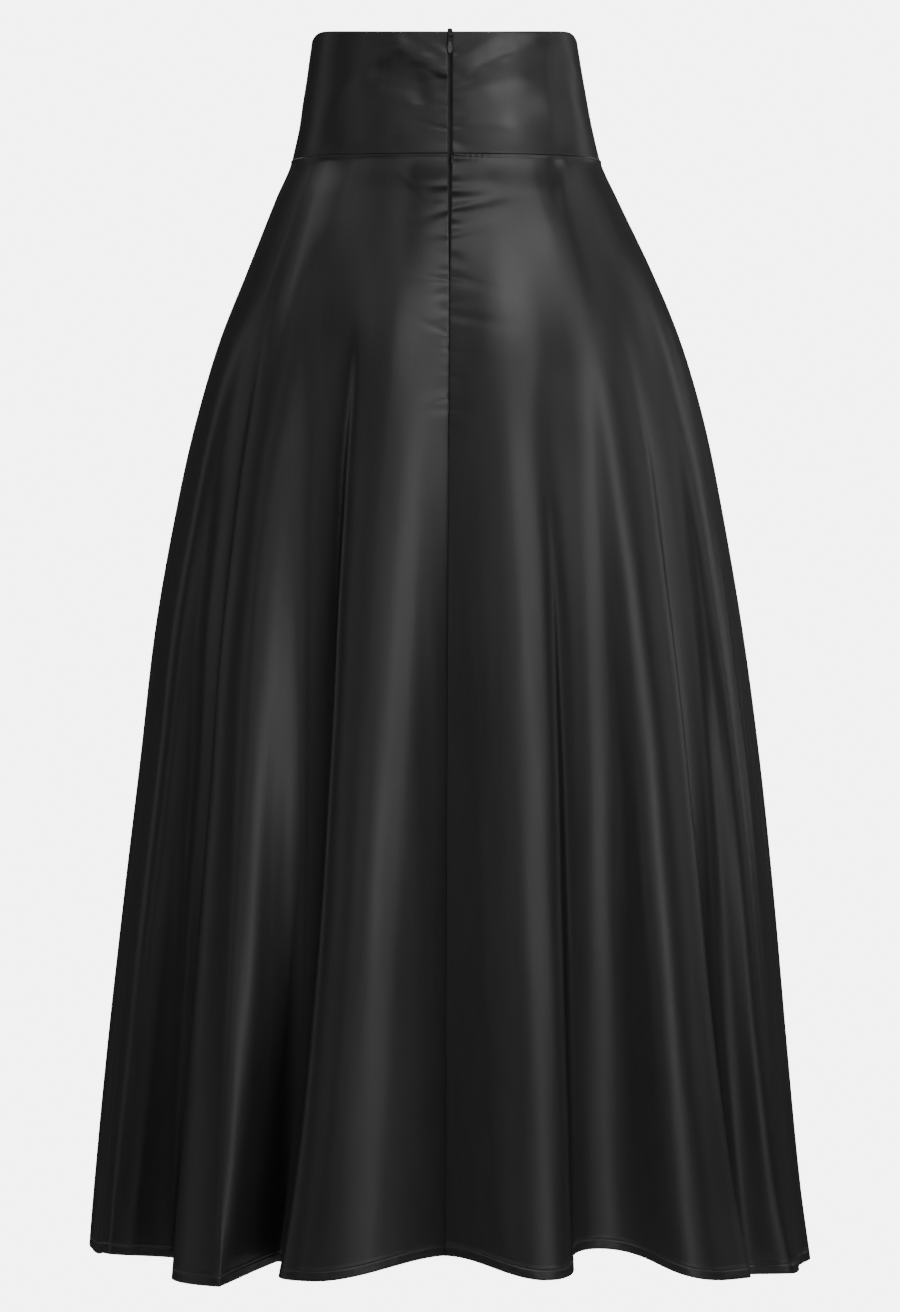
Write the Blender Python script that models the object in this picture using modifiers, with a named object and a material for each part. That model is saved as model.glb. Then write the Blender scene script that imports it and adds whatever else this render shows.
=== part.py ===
"""High-waisted satin maxi skirt with a high-low hem, filled out as if worn, with nobody in it.

Metres, +Z up. The wearer faces +Y, so the zip at the centre back faces -Y and +X is the wearer's right.
The origin is the centre of the waistband's hollow, at half the band's height, where a waist holds the skirt.

The cloth is six cut panels: three make the tall waistband, and three make the flared skirt.
Every panel is read from one form: a table of level sections gives the envelope that the fold crests touch,
and a table of folds says how far the hollows between the crests sink into it.
"""
import math
from collections import namedtuple

import bmesh
import bpy
from mathutils import Matrix, Vector

MM = 0.001

# Driving dimensions of the cloth
BAND_TOP_Z = 54.5 * MM
BAND_SIDE_RISE = 7.2 * MM
BAND_SEAM_DIP = 9.0 * MM
WAIST_SEAM_Z = -54.5 * MM
HEM_Z = -1036.0 * MM
FRONT_RISE = 240.0 * MM
CLOTH_WALL = 1.5 * MM
HEM_WALL = 2.7 * MM
HEM_TURN = 8.0 * MM
SEAM_GAP = 0.36 * MM

# Driving dimensions of the zip in the centre back seam
ZIP_GAP_IN_BAND = 3.7 * MM
ZIP_GAP_CLOSES_Z = -190.0 * MM
ZIP_END_Z = -326.0 * MM
TAPE_WIDTH = 12.0 * MM
TAPE_THICKNESS = 1.0 * MM
TAPE_BEHIND_CLOTH = 0.4 * MM
SLIDER_LENGTH = 7.5 * MM
SLIDER_ABOVE_BAND = 2.6 * MM
SLIDER_CLEARANCE = 1.0 * MM

# How finely the panels are divided
COLUMNS_PER_FLANK = 4
# A narrow column beside each seam, in flanks, keeps the two walls there parallel
SEAM_COLUMN = 0.06
SKIRT_ROWS = 17
BAND_COLUMNS_PER_QUARTER = 9
BAND_ROWS = 5

Section = namedtuple("Section", "z left right back front squareness")
# Level sections of the envelope, in millimetres from the axis, from the band's top edge to the hem
SECTIONS = [
    Section(54.5, 124, 114, 92, 92, 2.40),
    Section(0.0, 132, 123, 97, 95, 2.35),
    Section(-54.5, 142, 135, 103, 98, 2.25),
    Section(-90, 157, 151, 118, 110, 2.20),
    Section(-153, 182, 181, 143, 131, 2.15),
    Section(-216, 207, 207, 166, 151, 2.10),
    Section(-279, 226, 226, 184, 167, 2.05),
    Section(-342, 241, 240, 198, 181, 2.05),
    Section(-468, 264, 262, 220, 203, 2.05),
    Section(-594, 279, 279, 236, 221, 2.05),
    Section(-720, 294, 292, 251, 237, 2.05),
    Section(-846, 308, 303, 265, 252, 2.05),
    Section(-972, 320, 315, 278, 265, 2.05),
    Section(-1046, 326, 325, 286, 270, 2.05),
]

Fold = namedtuple("Fold", "name top_angle hem_angle sink starts_z hem_lift bulge sweep growth")
# Crests and hollows in turn, from the left side seam round the back to the right side seam, then the front.
# Angles are degrees from the centre back towards +X. Sinks and hem lifts are millimetres at the hem.
# The bulge belongs to the flank towards the next row: 0 is a plain wave, 1 stands the flank on end.
# The sweep is how many degrees a row turns aside just above the hem. The growth is the power by which a sink
# grows on the way down: the lower it is, the higher up the fold is already deep.
FOLDS = [
    Fold("left side seam crest", -90, -90, 0, -180, 8, 0.4, 0, 0.9),
    Fold("left side hollow", -78, -80, 4, -240, 3, 0.4, 0, 0.9),
    Fold("far left crest", -68, -70, 2, -200, 6, 0.7, 0, 0.9),
    Fold("far left hollow", -57, -61.5, 56, -150, 3, 1.2, -3, 0.9),
    Fold("left crest", -48, -37.5, 0, -170, -12, 0.4, 0, 0.9),
    Fold("left hollow", -33.5, -27.5, 72, -110, 6, 1.25, -8.5, 0.75),
    Fold("left centre crest", -12.5, -18.3, 0, -150, -4, 0.0, -2.5, 0.9),
    Fold("centre back seam hollow", 0, -1, 60, -120, 15, 0.0, 0, 0.6),
    Fold("right centre crest", 12.7, 16.4, 34, -170, -5, 0.9, 0, 0.9),
    Fold("right hollow", 29, 28.5, 60, -110, 19, 0.6, 0, 0.9),
    Fold("right crest", 41, 44, 0, -170, -9, 1.0, 3.5, 0.9),
    Fold("far right hollow", 54, 61, 46, -140, -13, 0.6, 6, 0.9),
    Fold("far right crest", 68, 69, 4, -170, -12, 0.4, 3, 0.9),
    Fold("right side hollow", 79, 80, 8, -240, -8, 0.4, 1, 0.9),
    Fold("right side seam crest", 90, 90, 0, -180, -6, 0.55, 0, 0.9),
    Fold("front right side hollow", 104, 106, 46, -200, 0, 0.55, 0, 0.9),
    Fold("front right side crest", 119, 121, 2, -190, -4, 0.6, 0, 0.9),
    Fold("front right hollow", 133, 136, 58, -180, 8, 0.75, 0, 0.9),
    Fold("front right crest", 150, 152, 0, -190, -6, 0.7, 0, 0.9),
    Fold("front right centre hollow", 166, 167, 50, -220, 6, 0.5, 0, 0.9),
    Fold("front centre crest", 181, 182, 4, -200, -4, 0.6, 0, 0.9),
    Fold("front left centre hollow", 196, 196, 54, -190, 7, 0.8, 0, 0.9),
    Fold("front left crest", 211, 210, 0, -170, -5, 0.6, 0, 0.9),
    Fold("front left hollow", 227, 225, 60, -190, 8, 0.7, 0, 0.9),
    Fold("front left side crest", 242, 241, 2, -200, -5, 0.5, 0, 0.9),
    Fold("front left side hollow", 256, 256, 44, -190, 6, 0.55, 0, 0.9),
]
LEFT_SIDE_SEAM = 0
CENTRE_BACK_SEAM = 7
RIGHT_SIDE_SEAM = 14
FOLD_COUNT = len(FOLDS)
FOLD_SOFT_START = 0.08

PARTS = bpy.data.collections.new("high_low_maxi_skirt")
CUTTERS = bpy.data.collections.new("cutters")


def clear_scene():
    for old in list(bpy.data.objects):
        bpy.data.objects.remove(old)
    bpy.context.scene.collection.children.link(PARTS)
    bpy.context.scene.collection.children.link(CUTTERS)


def principled(name, colour, roughness, metallic=0.0):
    material = bpy.data.materials.new(name)
    material.use_nodes = True
    shader = material.node_tree.nodes["Principled BSDF"]
    shader.inputs["Base Color"].default_value = (*colour, 1.0)
    shader.inputs["Roughness"].default_value = roughness
    shader.inputs["Metallic"].default_value = metallic
    material.diffuse_color = (*colour, 1.0)
    return material


def mix(a, b, share):
    return a + (b - a) * share


def ease(share):
    """0 to 1 with a level start and end, as a fold's flank runs from crest to hollow."""
    return (1 - math.cos(math.pi * share)) / 2


def sink_share(here, share):
    """How the sink runs from one row to the next: a wave, but straight-sided in the valley of the centre back."""
    if here is FOLDS[CENTRE_BACK_SEAM - 1]:
        return 1 - (4 * (1 - share) - (1 - share) ** 4) / 3
    if here is FOLDS[CENTRE_BACK_SEAM]:
        return (5 * share - share ** 5) / 4
    return ease(share)


def section_at(z):
    """The envelope's sizes at level z, read from SECTIONS along a smooth curve through its rows."""
    level = z / MM
    last = len(SECTIONS) - 1
    i = 0
    while i < last - 1 and level < SECTIONS[i + 1].z:
        i += 1
    before, low, high, after = (SECTIONS[min(max(k, 0), last)] for k in (i - 1, i, i + 1, i + 2))
    span = high.z - low.z
    share = (level - low.z) / span
    values = []
    for a, b, c, d in zip(before[1:], low[1:], high[1:], after[1:]):
        slope_low = (c - a) / (high.z - before.z) * span
        slope_high = (d - b) / (after.z - low.z) * span
        square = share * share
        cube = square * share
        values.append(
            (2 * cube - 3 * square + 1) * b
            + (cube - 2 * square + share) * slope_low
            + (3 * square - 2 * cube) * c
            + (cube - square) * slope_high
        )
    return Section(z, *(v * MM for v in values[:4]), values[4])


def envelope_point(angle, z):
    """Where the envelope lies at an angle in degrees from the centre back, at level z."""
    section = section_at(z)
    turn = math.radians(angle)
    across = math.sin(turn)
    along = -math.cos(turn)
    side = section.right if across > 0 else section.left
    depth = section.back if along < 0 else section.front
    power = 2 / section.squareness
    return Vector((
        math.copysign(side * abs(across) ** power, across),
        math.copysign(depth * abs(along) ** power, along),
        z,
    ))


def band_top_level(angle):
    """The band's top edge: cut a little higher over the sides, with a short dip at each side seam."""
    across = abs(math.sin(math.radians(angle)))
    along = abs(math.cos(math.radians(angle)))
    return BAND_TOP_Z + BAND_SIDE_RISE * (1 - along) - BAND_SEAM_DIP * across ** 30


def fold_growth(fold, z):
    """The share of its size at the hem that a crest or hollow has by level z: nothing above its start."""
    start = fold.starts_z * MM
    share = max((start - z) / (start - HEM_Z), 0)
    return share ** fold.growth * share / (share + FOLD_SOFT_START)


def fold_angle(fold, z):
    """The angle of a crest or hollow at a level. Its sweep carries it aside just above the hem."""
    share = min(max((WAIST_SEAM_Z - z) / (WAIST_SEAM_Z - HEM_Z), 0), 1.05)
    return mix(fold.top_angle, fold.hem_angle, share) + fold.sweep * share ** 6


def station_parts(station):
    """The crest and hollow on either side of a station, and the share of the way between them."""
    index = math.floor(station)
    share = station - index
    here = FOLDS[index % FOLD_COUNT]
    there = FOLDS[(index + 1) % FOLD_COUNT]
    full_turn = 360 if (index + 1) % FOLD_COUNT == 0 else 0
    return here, there, share, full_turn


def skirt_point(station, z):
    """A point of the skirt's outer face. Stations number the rows of FOLDS, so they follow the folds down."""
    here, there, share, full_turn = station_parts(station)
    here_growth = fold_growth(here, z)
    bulge = here.bulge * math.sqrt(here_growth)
    turned = share + bulge * math.sin(2 * math.pi * share) / (2 * math.pi)
    angle = mix(fold_angle(here, z), fold_angle(there, z) + full_turn, turned)
    sink = mix(here.sink * here_growth, there.sink * fold_growth(there, z), sink_share(here, share)) * MM
    point = envelope_point(angle, z)
    radius = math.hypot(point.x, point.y)
    scale = 1 - sink / radius
    return Vector((point.x * scale, point.y * scale, z))


def hem_level(station):
    """The hem's level: the back is long, and the front rises from the side seams to the centre front."""
    here, there, share, full_turn = station_parts(station)
    angle = mix(here.hem_angle, there.hem_angle + full_turn, share)
    lift = mix(here.hem_lift, there.hem_lift, ease(share)) * MM
    past_side = math.radians(min(max(abs(angle), 90), 270) - 90)
    return HEM_Z + lift + FRONT_RISE * math.sin(past_side) ** 2


def zip_gap(z):
    """The gap between the two back edges: it shows the zip in the band and closes to a seam below."""
    if z >= WAIST_SEAM_Z:
        return ZIP_GAP_IN_BAND
    share = min((WAIST_SEAM_Z - z) / (WAIST_SEAM_Z - ZIP_GAP_CLOSES_Z), 1)
    return mix(ZIP_GAP_IN_BAND, SEAM_GAP, ease(share))


def pull_back_edges(rows, gap_first, gap_last):
    """Takes half a seam's gap off both ends of every row of points, along the row."""
    for row in rows:
        z = row[0].z
        first = (row[1] - row[0]).normalized() * gap_first(z) / 2
        last = (row[-2] - row[-1]).normalized() * gap_last(z) / 2
        row[0] = row[0] + first
        row[-1] = row[-1] + last
    return rows


def plain_gap(z):
    return SEAM_GAP


def skirt_rows(first_station, last_station, gap_first, gap_last):
    """Rows of points of one skirt panel, from the waist seam to the hem, closer where the form bends more."""
    columns = round((last_station - first_station) * COLUMNS_PER_FLANK)
    stations = [first_station + i / COLUMNS_PER_FLANK for i in range(columns + 1)]
    stations.insert(1, first_station + SEAM_COLUMN)
    stations.insert(-1, last_station - SEAM_COLUMN)
    top = WAIST_SEAM_Z - SEAM_GAP / 2
    row_power = 1.1
    rows = []
    for j in range(SKIRT_ROWS + 1):
        share = (j / SKIRT_ROWS) ** row_power
        rows.append([
            skirt_point(s, mix(top, hem_level(s) + HEM_TURN, share)) for s in stations
        ])
    rows.append([skirt_point(s, hem_level(s)) for s in stations])
    return pull_back_edges(rows, gap_first, gap_last)


def band_rows(first_angle, last_angle, gap_first, gap_last):
    """Rows of points of one waistband panel, from its top edge to the waist seam."""
    columns = round((last_angle - first_angle) / 90 * BAND_COLUMNS_PER_QUARTER)
    angles = [mix(first_angle, last_angle, i / columns) for i in range(columns + 1)]
    angles.insert(1, first_angle + SEAM_COLUMN * 20)
    angles.insert(-1, last_angle - SEAM_COLUMN * 20)
    bottom = WAIST_SEAM_Z + SEAM_GAP / 2
    rows = []
    for j in range(BAND_ROWS + 1):
        rows.append([
            envelope_point(angle, mix(band_top_level(angle), bottom, j / BAND_ROWS)) for angle in angles
        ])
    return pull_back_edges(rows, gap_first, gap_last)


def cloth_object(name, rows, material, wall, hem_wall=None):
    """A panel as cut: a flat grid whose points are then laid on the form, given its wall inwards."""
    bm = bmesh.new()
    across = len(rows[0]) - 1
    down = len(rows) - 1
    half = 1.0
    bmesh.ops.create_grid(bm, x_segments=across, y_segments=down, size=half)
    hem_points = []
    bm.verts.ensure_lookup_table()
    for vertex in bm.verts:
        i = round((vertex.co.x + half) / (2 * half) * across)
        j = round((half - vertex.co.y) / (2 * half) * down)
        if j >= down - 1:
            hem_points.append(vertex.index)
        vertex.co = rows[j][i]
    mesh = bpy.data.meshes.new(name)
    bm.to_mesh(mesh)
    bm.free()
    mesh.shade_smooth()
    mesh.materials.append(material)
    panel = bpy.data.objects.new(name, mesh)
    PARTS.objects.link(panel)
    solidify = panel.modifiers.new("cloth wall", "SOLIDIFY")
    solidify.offset = -1
    solidify.thickness = wall
    if hem_wall:
        turned_hem = panel.vertex_groups.new(name="turned hem")
        turned_hem.add(hem_points, 1.0, "REPLACE")
        solidify.thickness = hem_wall
        solidify.vertex_group = turned_hem.name
        solidify.thickness_vertex_group = wall / hem_wall
    return panel


def point_along(row, distance):
    """The point of a row's polyline at a distance from its first point."""
    for a, b in zip(row, row[1:]):
        step = (b - a).length
        if distance <= step:
            return a.lerp(b, distance / step)
        distance -= step
    return row[-1].copy()


def tape_rows(panel_rows, side):
    """One half of the zip's tape: the back panels' edge points and a strip beside them, moved inwards."""
    rows = []
    behind = CLOTH_WALL + TAPE_BEHIND_CLOTH
    top_clearance = 1.2 * MM
    slider_end = BAND_TOP_Z - SLIDER_LENGTH - SLIDER_CLEARANCE * 1.5
    for row in panel_rows:
        edge, outer = row[0], point_along(row, TAPE_WIDTH)
        along = (outer - edge).normalized()
        inwards = Vector((0, 0, 1)).cross(along) * side
        clear = ZIP_GAP_IN_BAND if edge.z > slider_end else SEAM_GAP
        start = Vector((0, edge.y, edge.z)) if edge.z > WAIST_SEAM_Z else edge - along * zip_gap(edge.z) / 2
        start = start + along * clear / 2
        rows.append([p + inwards * behind for p in (start, (start + outer) / 2, outer)])
    rows[0] = [p - Vector((0, 0, top_clearance)) for p in rows[0]]
    return rows


def zip_tape(name, band, skirt, side, material):
    """A tape half from under the band's top edge to the zip's end, on the rows of its two back panels."""
    panel_rows = [list(row) for row in band] + [list(row) for row in skirt if row[0].z > ZIP_END_Z]
    if side < 0:
        panel_rows = [row[::-1] for row in panel_rows]
    row_drop = panel_rows[0][0].z - panel_rows[1][0].z
    beside = (SLIDER_LENGTH + SLIDER_CLEARANCE) / row_drop
    below = (SLIDER_LENGTH + 2 * SLIDER_CLEARANCE) / row_drop
    panel_rows[1:1] = [
        [a.lerp(b, share) for a, b in zip(panel_rows[0], panel_rows[1])] for share in (beside, below)
    ]
    rows = tape_rows(panel_rows, side)
    if side < 0:
        rows = [row[::-1] for row in rows]
    return cloth_object(name, rows, material, TAPE_THICKNESS)


def flat_outline(name, outlines, thickness):
    """A plate from closed outlines in the XY plane, the later ones being holes, as a welded mesh."""
    curve = bpy.data.curves.new(name, "CURVE")
    curve.dimensions = "2D"
    curve.fill_mode = "BOTH"
    curve.extrude = thickness / 2
    for outline in outlines:
        spline = curve.splines.new("POLY")
        spline.points.add(len(outline) - 1)
        for point, (x, y) in zip(spline.points, outline):
            point.co = (x, y, 0, 1)
        spline.use_cyclic_u = True
    drawn = bpy.data.objects.new(name, curve)
    PARTS.objects.link(drawn)
    evaluated = drawn.evaluated_get(bpy.context.evaluated_depsgraph_get())
    mesh = bpy.data.meshes.new_from_object(evaluated)
    bpy.data.objects.remove(drawn)
    bm = bmesh.new()
    bm.from_mesh(mesh)
    bmesh.ops.remove_doubles(bm, verts=bm.verts, dist=0.00001)
    bmesh.ops.recalc_face_normals(bm, faces=bm.faces)
    bm.to_mesh(mesh)
    bm.free()
    return mesh


def circle_points(centre_x, centre_y, radius, count, first=0.0, last=360.0):
    """Points round an arc, in degrees, the last one left out on a full circle."""
    full = last - first >= 360
    steps = count if full else count - 1
    return [
        (
            centre_x + radius * math.cos(math.radians(mix(first, last, k / steps))),
            centre_y + radius * math.sin(math.radians(mix(first, last, k / steps))),
        )
        for k in range(count)
    ]


def block(size, centre, bevel):
    """A bevelled box mesh from its size and centre."""
    bm = bmesh.new()
    bmesh.ops.create_cube(bm, size=1.0, matrix=Matrix.Translation(centre) @ Matrix.Diagonal((*size, 1)))
    bmesh.ops.bevel(bm, geom=bm.edges, offset=bevel, segments=2, affect="EDGES", profile=0.5)
    mesh = bpy.data.meshes.new("block")
    bm.to_mesh(mesh)
    bm.free()
    return mesh


def join_by_union(target, mesh, name):
    helper = bpy.data.objects.new(name, mesh)
    CUTTERS.objects.link(helper)
    helper.parent = target
    helper.hide_render = True
    helper.display_type = "WIRE"
    union = target.modifiers.new(name, "BOOLEAN")
    union.operation = "UNION"
    union.solver = "EXACT"
    union.object = helper


# The slider's sizes, in its own frame: Y runs into the cloth from its outer face, Z up along the band
NECK_WIDTH = 3.0 * MM
NECK_PROUD = 0.9 * MM
SLIDER_BODY_WIDTH = 5.6 * MM
SLIDER_BODY_DEPTH = 2.0 * MM
BRIDGE_WIDTH = 1.3 * MM
BRIDGE_RADIUS = 1.6 * MM
BRIDGE_HOLE_RADIUS = 0.95 * MM
BRIDGE_CENTRE_Y = -2.3 * MM
BRIDGE_CENTRE_Z = -3.6 * MM
BRIDGE_SIDES = 20
PULL_THICKNESS = 0.7 * MM
PULL_LENGTH = 17.0 * MM


def slider_frame():
    """An empty at the band's top edge at the centre back, leaning with the band."""
    top = section_at(BAND_TOP_Z)
    lower = section_at(0.0)
    lean = math.atan2(lower.back - top.back, BAND_TOP_Z)
    empty = bpy.data.objects.new("slider_place", None)
    PARTS.objects.link(empty)
    empty.location = (0, -top.back, BAND_TOP_Z)
    empty.rotation_euler = (-lean, 0, 0)
    return empty


def zip_slider(place, material):
    """The closed slider: a neck through the gap, a body behind the tape and a bridge that holds the pull."""
    body_y = CLOTH_WALL + TAPE_BEHIND_CLOTH + TAPE_THICKNESS + 0.4 * MM
    neck_depth = NECK_PROUD + body_y + SLIDER_BODY_DEPTH / 2
    height = SLIDER_LENGTH + SLIDER_ABOVE_BAND
    middle_z = SLIDER_ABOVE_BAND - height / 2
    neck = block(
        (NECK_WIDTH, neck_depth, height),
        (0, neck_depth / 2 - NECK_PROUD, middle_z),
        0.45 * MM,
    )
    neck.name = "zip_slider"
    neck.materials.append(material)
    slider = bpy.data.objects.new("zip_slider", neck)
    PARTS.objects.link(slider)
    slider.parent = place
    body = block(
        (SLIDER_BODY_WIDTH, SLIDER_BODY_DEPTH, SLIDER_LENGTH - 1.0 * MM),
        (0, body_y + SLIDER_BODY_DEPTH / 2, -SLIDER_LENGTH / 2 - 0.2 * MM),
        0.4 * MM,
    )
    join_by_union(slider, body, "slider body")
    root = 0.35 * MM
    rise = circle_points(BRIDGE_CENTRE_Y, BRIDGE_CENTRE_Z, BRIDGE_RADIUS, 11, 90, 270)
    outline = [(root, BRIDGE_CENTRE_Z + BRIDGE_RADIUS)] + rise + [(root, BRIDGE_CENTRE_Z - BRIDGE_RADIUS)]
    hole = circle_points(BRIDGE_CENTRE_Y, BRIDGE_CENTRE_Z, BRIDGE_HOLE_RADIUS, BRIDGE_SIDES)
    bridge = flat_outline("bridge", [outline, hole[::-1]], BRIDGE_WIDTH)
    stand_on_edge = Matrix(((0, 0, 1, 0), (1, 0, 0, 0), (0, 1, 0, 0), (0, 0, 0, 1)))
    bridge.transform(stand_on_edge)
    join_by_union(slider, bridge, "slider bridge")
    return slider


def zip_pull(place, material):
    """A teardrop pull whose eye passes round the bridge. Its origin is on the hinge, and it hangs plumb."""
    bar = 0.7 * MM
    eye_half = 1.15 * MM
    eye_drop = 3.2 * MM
    shoulder = 1.9 * MM
    belly = 2.45 * MM
    belly_y = -12.5 * MM
    top = bar / 2
    right_side = [
        (shoulder - 0.5 * MM, top),
        (shoulder, top - 0.5 * MM),
        (shoulder, -3.6 * MM),
        (shoulder + 0.1 * MM, -7.0 * MM),
        (belly - 0.1 * MM, -10.0 * MM),
    ]
    tip_radius = belly
    tip = circle_points(0, belly_y, tip_radius, 11, 0, -180)
    squash = (PULL_LENGTH + belly_y) / tip_radius
    tip = [(x, belly_y + (y - belly_y) * squash) for x, y in tip]
    outline = right_side + tip + [(-x, y) for x, y in right_side[::-1]]
    eye = [
        (-eye_half, -bar / 2),
        (eye_half, -bar / 2),
        (eye_half, -eye_drop + 0.5 * MM),
        (eye_half - 0.5 * MM, -eye_drop),
        (-eye_half + 0.5 * MM, -eye_drop),
        (-eye_half, -eye_drop + 0.5 * MM),
    ]
    mesh = flat_outline("zip_pull", [outline, eye], PULL_THICKNESS)
    mesh.transform(Matrix.Rotation(math.radians(90), 4, "X"))
    mesh.materials.clear()
    mesh.materials.append(material)
    pull = bpy.data.objects.new("zip_pull", mesh)
    PARTS.objects.link(pull)
    bpy.context.view_layer.update()
    pull.location = place.matrix_world @ Vector((0, BRIDGE_CENTRE_Y, BRIDGE_CENTRE_Z))
    print("zip pull hinge at", [round(c, 6) for c in pull.location])
    return pull


def main():
    clear_scene()
    satin = principled("black_satin", (0.022, 0.022, 0.024), 0.42)
    tape = principled("zip_tape", (0.012, 0.012, 0.013), 0.75)
    enamel = principled("black_enamel", (0.01, 0.01, 0.01), 0.3, 0.2)

    back_left = band_rows(-90, 0, plain_gap, zip_gap)
    back_right = band_rows(0, 90, zip_gap, plain_gap)
    cloth_object("waistband_back_left", back_left, satin, CLOTH_WALL)
    cloth_object("waistband_back_right", back_right, satin, CLOTH_WALL)
    cloth_object("waistband_front", band_rows(90, 270, plain_gap, plain_gap), satin, CLOTH_WALL)

    skirt_left = skirt_rows(LEFT_SIDE_SEAM, CENTRE_BACK_SEAM, plain_gap, zip_gap)
    skirt_right = skirt_rows(CENTRE_BACK_SEAM, RIGHT_SIDE_SEAM, zip_gap, plain_gap)
    skirt_front = skirt_rows(RIGHT_SIDE_SEAM, FOLD_COUNT, plain_gap, plain_gap)
    cloth_object("skirt_back_left", skirt_left, satin, CLOTH_WALL, HEM_WALL)
    cloth_object("skirt_back_right", skirt_right, satin, CLOTH_WALL, HEM_WALL)
    cloth_object("skirt_front", skirt_front, satin, CLOTH_WALL, HEM_WALL)

    zip_tape("zip_tape_left", back_left, skirt_left, -1, tape)
    zip_tape("zip_tape_right", back_right, skirt_right, 1, tape)
    place = slider_frame()
    zip_slider(place, enamel)
    zip_pull(place, enamel)


main()
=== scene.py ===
# %% [markdown]
# # A high-waisted black satin skirt, long behind and short in front
#
# The skirt is filled out as if worn, and seen from the back, where its zip is. A maker would cut six panels:
# three for the tall waistband and three for the flared skirt. Here each panel is one grid of points laid on a
# form, then given a thickness. A cloth simulation could drape it too, but the folds in this skirt are few,
# long and clear, and a form with named folds puts every one of them where it should be.

import math
from collections import namedtuple

import bpy
import numpy as np
from mathutils import Matrix, Vector


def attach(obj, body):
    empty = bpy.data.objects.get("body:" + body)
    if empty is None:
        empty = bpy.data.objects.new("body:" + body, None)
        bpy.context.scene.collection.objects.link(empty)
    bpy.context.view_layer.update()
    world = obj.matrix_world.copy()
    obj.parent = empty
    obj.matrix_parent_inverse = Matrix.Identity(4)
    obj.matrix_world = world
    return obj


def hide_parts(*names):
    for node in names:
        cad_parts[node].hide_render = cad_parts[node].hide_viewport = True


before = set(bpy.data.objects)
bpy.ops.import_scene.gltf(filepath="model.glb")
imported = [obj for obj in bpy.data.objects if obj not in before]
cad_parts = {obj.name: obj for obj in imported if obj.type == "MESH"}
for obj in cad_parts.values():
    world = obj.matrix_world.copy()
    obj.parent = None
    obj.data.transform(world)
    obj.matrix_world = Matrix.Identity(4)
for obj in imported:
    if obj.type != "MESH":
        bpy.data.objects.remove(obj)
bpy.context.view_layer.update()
MM = 0.001
print("solids:", ", ".join(sorted(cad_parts)))

# %% [markdown]
# ## The form under the cloth
#
# A worn skirt has two shapes at once. The envelope is the smooth shape that the fold crests touch: waist,
# hips and the flare below. It is a table of level sections, and each section is a superellipse, which is an
# ellipse with slightly squarer shoulders. The other shape is the folds, which sink inwards from it.

# %% The envelope, section by section
BAND_TOP_Z = 54.5 * MM
BAND_SIDE_RISE = 7.2 * MM
BAND_SEAM_DIP = 9.0 * MM
WAIST_SEAM_Z = -54.5 * MM
HEM_Z = -1036.0 * MM
FRONT_RISE = 240.0 * MM
SEAM_GAP = -0.10 * MM

Section = namedtuple("Section", "z left right back front squareness")
# Millimetres from the axis, from the band's top edge to the hem
SECTIONS = [
    Section(54.5, 124, 114, 92, 92, 2.40),
    Section(0.0, 132, 123, 97, 95, 2.35),
    Section(-54.5, 142, 135, 103, 98, 2.25),
    Section(-90, 157, 151, 118, 110, 2.20),
    Section(-153, 182, 181, 143, 131, 2.15),
    Section(-216, 207, 207, 166, 151, 2.10),
    Section(-279, 226, 226, 184, 167, 2.05),
    Section(-342, 241, 240, 198, 181, 2.05),
    Section(-468, 264, 262, 220, 203, 2.05),
    Section(-594, 279, 279, 236, 221, 2.05),
    Section(-720, 294, 292, 251, 237, 2.05),
    Section(-846, 308, 303, 265, 252, 2.05),
    Section(-972, 320, 315, 278, 265, 2.05),
    Section(-1046, 326, 325, 286, 270, 2.05),
]
SECTION_ROWS = np.array(SECTIONS, float)


def envelope_sizes(z):
    """Left, right, back and front reach in metres, and squareness, at levels z, along a smooth curve."""
    level = z / MM
    heights = SECTION_ROWS[:, 0]
    last = len(heights) - 1
    low = (level[..., None] < heights[1:last]).sum(-1)
    rows = [np.clip(low + step, 0, last) for step in (-1, 0, 1, 2)]
    h0, h1, h2, h3 = (heights[r][..., None] for r in rows)
    v0, v1, v2, v3 = (SECTION_ROWS[r, 1:] for r in rows)
    span = h2 - h1
    t = (level[..., None] - h1) / span
    slope_low = (v2 - v0) / (h2 - h0) * span
    slope_high = (v3 - v1) / (h3 - h1) * span
    values = (
        (2 * t**3 - 3 * t**2 + 1) * v1
        + (t**3 - 2 * t**2 + t) * slope_low
        + (3 * t**2 - 2 * t**3) * v2
        + (t**3 - t**2) * slope_high
    )
    return [values[..., k] * MM for k in range(4)] + [values[..., 4]]


def on_envelope(angle, z):
    """Points at an angle in degrees from the centre back, towards +X, at level z."""
    left, right, back, front, squareness = envelope_sizes(z)
    across, along = np.sin(np.radians(angle)), -np.cos(np.radians(angle))
    side = np.where(across > 0, right, left)
    depth = np.where(along < 0, back, front)
    power = 2 / squareness
    x = np.sign(across) * side * np.abs(across) ** power
    y = np.sign(along) * depth * np.abs(along) ** power
    return np.stack([x, y, z], -1)


for name, level in (("band top", BAND_TOP_Z), ("waist seam", WAIST_SEAM_Z), ("hem", HEM_Z)):
    ring = on_envelope(np.linspace(0, 360, 721), np.full(721, level))
    print(f"{name}: {np.linalg.norm(np.diff(ring, axis=0), axis=1).sum():.3f} m round")

# %% [markdown]
# ## The folds
#
# A flared panel has more cloth at the hem than the hips need, so it falls in folds. Each starts at nothing
# just below the waist or hips and deepens to the hem. A row of the table is a crest or a hollow, and the
# surface runs from row to row as a wave. The bulge makes a crest round and full and stands its flank up, as
# heavy satin does. A growth under one deepens a fold early. The seam at the centre back is held by its
# stitches, so it lies in a valley with straight sides, which deepens first of all.

# %% The table of folds
Fold = namedtuple("Fold", "name top_angle hem_angle sink starts_z hem_lift bulge sweep growth")
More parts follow.
